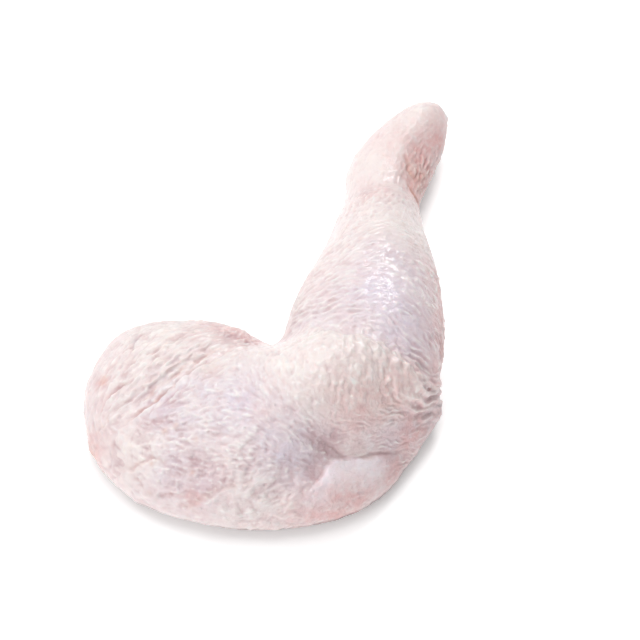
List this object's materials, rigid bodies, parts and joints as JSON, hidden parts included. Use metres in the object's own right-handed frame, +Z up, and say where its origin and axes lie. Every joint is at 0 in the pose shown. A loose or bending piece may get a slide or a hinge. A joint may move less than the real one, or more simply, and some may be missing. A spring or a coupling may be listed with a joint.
{
  "type": "whole raw chicken leg",
  "caption": "Raw skin-on chicken leg, thigh and drumstick in one piece, bent at the knee and lying on its flesh side.",
  "frame": {"origin": "middle of the bounding box's underside, on the surface that the leg lies on", "axes": "+X from the hip end of the thigh towards the knee, +Y along the drumstick towards the hock, +Z up out of the skin side"},
  "size_m": [0.1366, 0.1962, 0.0484],
  "materials": {
    "raw_skin": "moist pale poultry skin"
  },
  "bodies": {
    "root": {"chicken_leg": "raw_skin"}
  },
  "joints": []
}
